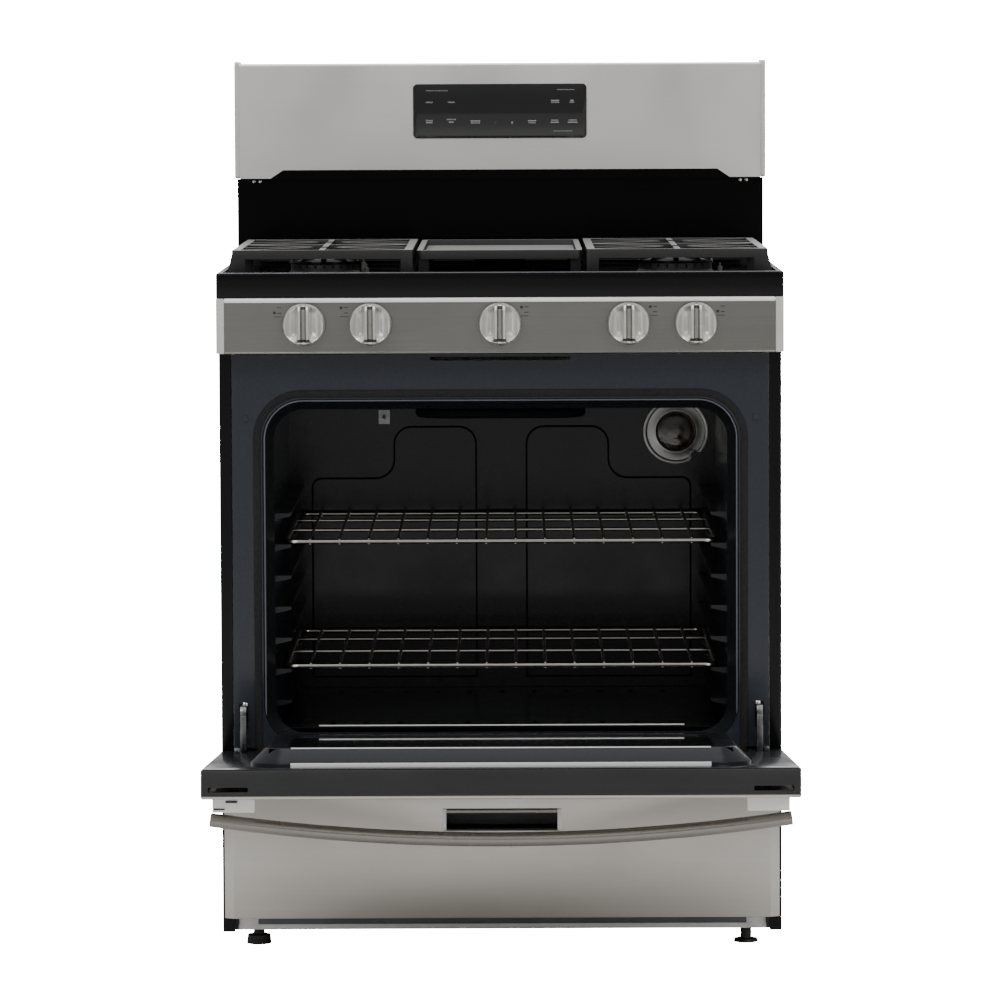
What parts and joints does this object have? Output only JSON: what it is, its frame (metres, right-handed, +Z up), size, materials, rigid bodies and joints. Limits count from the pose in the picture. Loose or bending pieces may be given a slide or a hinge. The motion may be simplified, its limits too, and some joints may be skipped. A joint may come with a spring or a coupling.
{
  "type": "freestanding gas range",
  "caption": "Freestanding gas range with a drop-down oven door, sliding racks, lift-off grates, a griddle, turning knobs and a storage drawer.",
  "frame": {"origin": "on the floor, under the centre of the bounding box of the range as stored, with the oven door open", "axes": "+Z up, +X to the right of a person who faces the range, +Y towards the wall behind it"},
  "size_m": [0.759, 1.1515, 1.196],
  "materials": {
    "stainless": "brushed along the width, satin",
    "fascia_steel": "brushed along the width, darker satin",
    "light_trim": "silver-painted moulding",
    "blue_enamel": "gloss porcelain enamel, blue-black",
    "cavity_enamel": "gloss porcelain enamel with fine speckle",
    "black_enamel": "gloss black enamel",
    "cast_iron": "matte enamelled cast iron",
    "galvanised": "galvanised sheet",
    "chrome_wire": "polished plated wire",
    "black_trim": "satin black moulding",
    "touch_glass": "gloss black glass",
    "tinted_glass": "dark tinted glass",
    "lamp_ring": "spun aluminium",
    "burner_aluminium": "cast aluminium",
    "brass": "machined brass",
    "ceramic": "white glazed ceramic",
    "zinc": "zinc-plated",
    "seal": "woven glass-fibre",
    "insulation": "glass-fibre blanket",
    "rubber": "soft black rubber",
    "knob_metal": "brushed and coated",
    "valve_steel": "machined",
    "leg_black": "satin black"
  },
  "bodies": {
    "cabinet": {"backguard_end_caps": "light_trim", "backguard_front": "stainless", "backguard_rear_cover": "galvanised", "backguard_splash": "black_enamel", "base_frame": "galvanised", "burner_caps": "black_enamel", "burner_heads": "burner_aluminium", "cabinet_screws": "zinc", "clock_control": "touch_glass", "control_panel": "fascia_steel", "control_panel_end_caps": "light_trim", "cooktop_panel": "black_enamel", "door_bumpers": "rubber", "door_gasket": "seal", "drawer_rails": "galvanised", "face_frame": "blue_enamel", "gas_manifold": "burner_aluminium", "gas_regulator": "burner_aluminium", "gas_valves": "brass", "hinge_receivers": "galvanised", "oven_burners": "burner_aluminium", "oven_floor_panel": "cavity_enamel", "oven_insulation": "insulation", "oven_lamp": "lamp_ring", "oven_liner": "cavity_enamel", "rear_panel": "galvanised", "side_panel_left": "black_enamel", "side_panel_right": "black_enamel", "spark_electrodes": "ceramic", "temperature_probe": "chrome_wire"},
    "door": {"door_skin": "stainless", "door_outer_glass": "tinted_glass", "door_liner": "blue_enamel", "door_inner_glass": "tinted_glass", "door_top_trim": "black_trim", "door_hinge_plates": "galvanised", "handle_bar": "stainless", "handle_brackets": "light_trim"},
    "drawer": {"drawer_front": "stainless", "drawer_pull": "black_trim", "drawer_box": "galvanised"},
    "rack_lower": {"oven_rack_lower": "chrome_wire"},
    "rack_upper": {"oven_rack_upper": "chrome_wire"},
    "grate_left": {"grate_left": "cast_iron"},
    "grate_right": {"grate_right": "cast_iron"},
    "griddle": {"griddle": "cast_iron"},
    "stem_left_front": {"valve_stem_left_front": "valve_steel"},
    "knob_left_front": {"knob_left_front": "knob_metal"},
    "stem_left_rear": {"valve_stem_left_rear": "valve_steel"},
    "knob_left_rear": {"knob_left_rear": "knob_metal"},
    "stem_centre": {"valve_stem_centre": "valve_steel"},
    "knob_centre": {"knob_centre": "knob_metal"},
    "stem_right_rear": {"valve_stem_right_rear": "valve_steel"},
    "knob_right_rear": {"knob_right_rear": "knob_metal"},
    "stem_right_front": {"valve_stem_right_front": "valve_steel"},
    "knob_right_front": {"knob_right_front": "knob_metal"},
    "leg_front_left": {"leg_front_left": "leg_black"},
    "leg_front_right": {"leg_front_right": "leg_black"},
    "leg_rear_left": {"leg_rear_left": "leg_black"},
    "leg_rear_right": {"leg_rear_right": "leg_black"}
  },
  "joints": [
    {"name": "door_hinge", "type": "hinge", "parent": "cabinet", "child": "door", "pos_m": [0, -0.056, 0.2589], "axis": [-1, 0, 0], "range_deg": [0, 85.7]},
    {"name": "drawer_slide", "type": "slide", "parent": "cabinet", "child": "drawer", "axis": [0, -1, 0], "range_m": [0, 0.38]},
    {"name": "rack_lower_slide", "type": "slide", "parent": "cabinet", "child": "rack_lower", "axis": [0, 1, 0], "range_m": [-0.38, 0]},
    {"name": "rack_upper_slide", "type": "slide", "parent": "cabinet", "child": "rack_upper", "axis": [0, 1, 0], "range_m": [-0.38, 0]},
    {"name": "stem_left_front_turn", "type": "hinge", "parent": "cabinet", "child": "stem_left_front", "pos_m": [-0.262, -0.084, 0.845], "axis": [0, -1, 0], "range_deg": [0, 230]},
    {"name": "knob_left_front_push", "type": "slide", "parent": "stem_left_front", "child": "knob_left_front", "axis": [0, 1, 0], "range_m": [0, 0.003], "stiffness_N_per_m": 800, "springref_m": -0.002},
    {"name": "stem_left_rear_turn", "type": "hinge", "parent": "cabinet", "child": "stem_left_rear", "pos_m": [-0.173, -0.084, 0.845], "axis": [0, -1, 0], "range_deg": [0, 230]},
    {"name": "knob_left_rear_push", "type": "slide", "parent": "stem_left_rear", "child": "knob_left_rear", "axis": [0, 1, 0], "range_m": [0, 0.003], "stiffness_N_per_m": 800, "springref_m": -0.002},
    {"name": "stem_centre_turn", "type": "hinge", "parent": "cabinet", "child": "stem_centre", "pos_m": [0, -0.084, 0.845], "axis": [0, -1, 0], "range_deg": [0, 230]},
    {"name": "knob_centre_push", "type": "slide", "parent": "stem_centre", "child": "knob_centre", "axis": [0, 1, 0], "range_m": [0, 0.003], "stiffness_N_per_m": 800, "springref_m": -0.002},
    {"name": "stem_right_rear_turn", "type": "hinge", "parent": "cabinet", "child": "stem_right_rear", "pos_m": [0.172, -0.084, 0.845], "axis": [0, -1, 0], "range_deg": [0, 230]},
    {"name": "knob_right_rear_push", "type": "slide", "parent": "stem_right_rear", "child": "knob_right_rear", "axis": [0, 1, 0], "range_m": [0, 0.003], "stiffness_N_per_m": 800, "springref_m": -0.002},
    {"name": "stem_right_front_turn", "type": "hinge", "parent": "cabinet", "child": "stem_right_front", "pos_m": [0.262, -0.084, 0.845], "axis": [0, -1, 0], "range_deg": [0, 230]},
    {"name": "knob_right_front_push", "type": "slide", "parent": "stem_right_front", "child": "knob_right_front", "axis": [0, 1, 0], "range_m": [0, 0.003], "stiffness_N_per_m": 800, "springref_m": -0.002},
    {"name": "leg_front_left_screw", "type": "slide", "parent": "cabinet", "child": "leg_front_left", "axis": [0, 0, -1], "range_m": [0, 0.02]},
    {"name": "leg_front_right_screw", "type": "slide", "parent": "cabinet", "child": "leg_front_right", "axis": [0, 0, -1], "range_m": [0, 0.02]},
    {"name": "leg_rear_left_screw", "type": "slide", "parent": "cabinet", "child": "leg_rear_left", "axis": [0, 0, -1], "range_m": [0, 0.02]},
    {"name": "leg_rear_right_screw", "type": "slide", "parent": "cabinet", "child": "leg_rear_right", "axis": [0, 0, -1], "range_m": [0, 0.02]},
    {"name": "grate_left_lift", "type": "slide", "parent": "cabinet", "child": "grate_left", "axis": [0, 0, 1], "range_m": [0, 0.14]},
    {"name": "grate_right_lift", "type": "slide", "parent": "cabinet", "child": "grate_right", "axis": [0, 0, 1], "range_m": [0, 0.14]},
    {"name": "griddle_lift", "type": "slide", "parent": "cabinet", "child": "griddle", "axis": [0, 0, 1], "range_m": [0, 0.14]}
  ]
}
